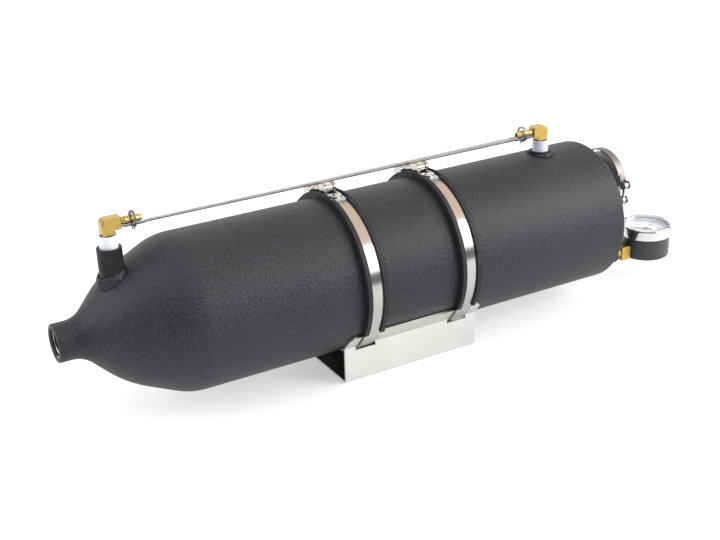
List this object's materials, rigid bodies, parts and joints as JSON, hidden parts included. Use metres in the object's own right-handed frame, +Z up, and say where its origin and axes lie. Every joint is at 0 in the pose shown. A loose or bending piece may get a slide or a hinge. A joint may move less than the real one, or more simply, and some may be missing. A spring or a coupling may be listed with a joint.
{
  "type": "engine oil accumulator",
  "caption": "Pressure bottle with spun neck held in a folded bracket by cushioned band clamps, with a sight tube, a pressure gauge and a clamped filler port with an air valve.",
  "frame": {"origin": "centre of the bracket's underside, on the surface that the accumulator is bolted to", "axes": "+X along the bottle from the threaded neck to the gauge, +Z up from the mounting surface, +Y across the bottle, away from the side that the picture shows"},
  "size_m": [0.506, 0.117, 0.1451],
  "materials": {
    "tank_coat": "fine wrinkle coat",
    "bung_coat": "smooth satin coat",
    "stainless": "brushed",
    "plated_steel": "zinc plated",
    "spring_wire": "dark oiled",
    "liner_rubber": "matt",
    "seal_rubber": "matt",
    "brass": "machined",
    "sealing_tape": "soft waxy",
    "clear_vinyl": "clear glossy",
    "cap_alloy": "turned",
    "valve_cap_plastic": "moulded",
    "gauge_black": "satin black",
    "gauge_chrome": "polished",
    "gauge_glass": "clear",
    "dial_white": "matt white",
    "pointer_black": "matt black",
    "spring_bronze": "drawn"
  },
  "bodies": {
    "accumulator": {"tank_shell": "tank_coat", "end_plate": "tank_coat", "weld_beads": "tank_coat", "port_neck": "stainless", "gauge_bung": "tank_coat", "neck_side_bung": "bung_coat", "gauge_side_bung": "bung_coat", "neck_side_elbow": "brass", "gauge_side_elbow": "brass", "neck_side_thread_tape": "sealing_tape", "gauge_side_thread_tape": "sealing_tape", "sight_tube": "clear_vinyl", "neck_side_tube_clamp": "spring_wire", "gauge_side_tube_clamp": "spring_wire", "mounting_bracket": "stainless", "neck_band": "stainless", "neck_band_liner": "liner_rubber", "gauge_band": "stainless", "gauge_band_liner": "liner_rubber", "band_t_bolts": "plated_steel", "band_trunnions": "plated_steel", "band_nuts": "plated_steel", "port_cap": "cap_alloy", "port_seal_ring": "seal_rubber", "v_band_segments": "stainless", "v_band_strap": "stainless", "v_band_t_bolt": "plated_steel", "v_band_trunnion": "plated_steel", "v_band_nut": "plated_steel", "air_valve_body": "brass", "air_valve_core": "brass", "air_valve_cap": "valve_cap_plastic", "gauge_case": "gauge_black", "gauge_bezel": "gauge_chrome", "gauge_lens": "gauge_glass", "gauge_dial": "dial_white", "gauge_stem": "brass", "bourdon_tube": "spring_bronze", "gauge_movement": "brass"},
    "gauge_needle": {"gauge_pointer": "pointer_black", "gauge_arbor": "brass"},
    "valve_pin": {"air_valve_pin": "plated_steel"}
  },
  "joints": [
    {"name": "pointer_sweep", "type": "hinge", "parent": "accumulator", "child": "gauge_needle", "pos_m": [0.244, -0.01, 0.04], "axis": [0, 0, 1], "range_deg": [-270, 0], "stiffness_Nm_per_rad": 0.00005},
    {"name": "valve_press", "type": "slide", "parent": "accumulator", "child": "valve_pin", "axis": [-1, 0, 0], "range_m": [0, 0.001], "stiffness_N_per_m": 300, "springref_m": -0.001}
  ]
}
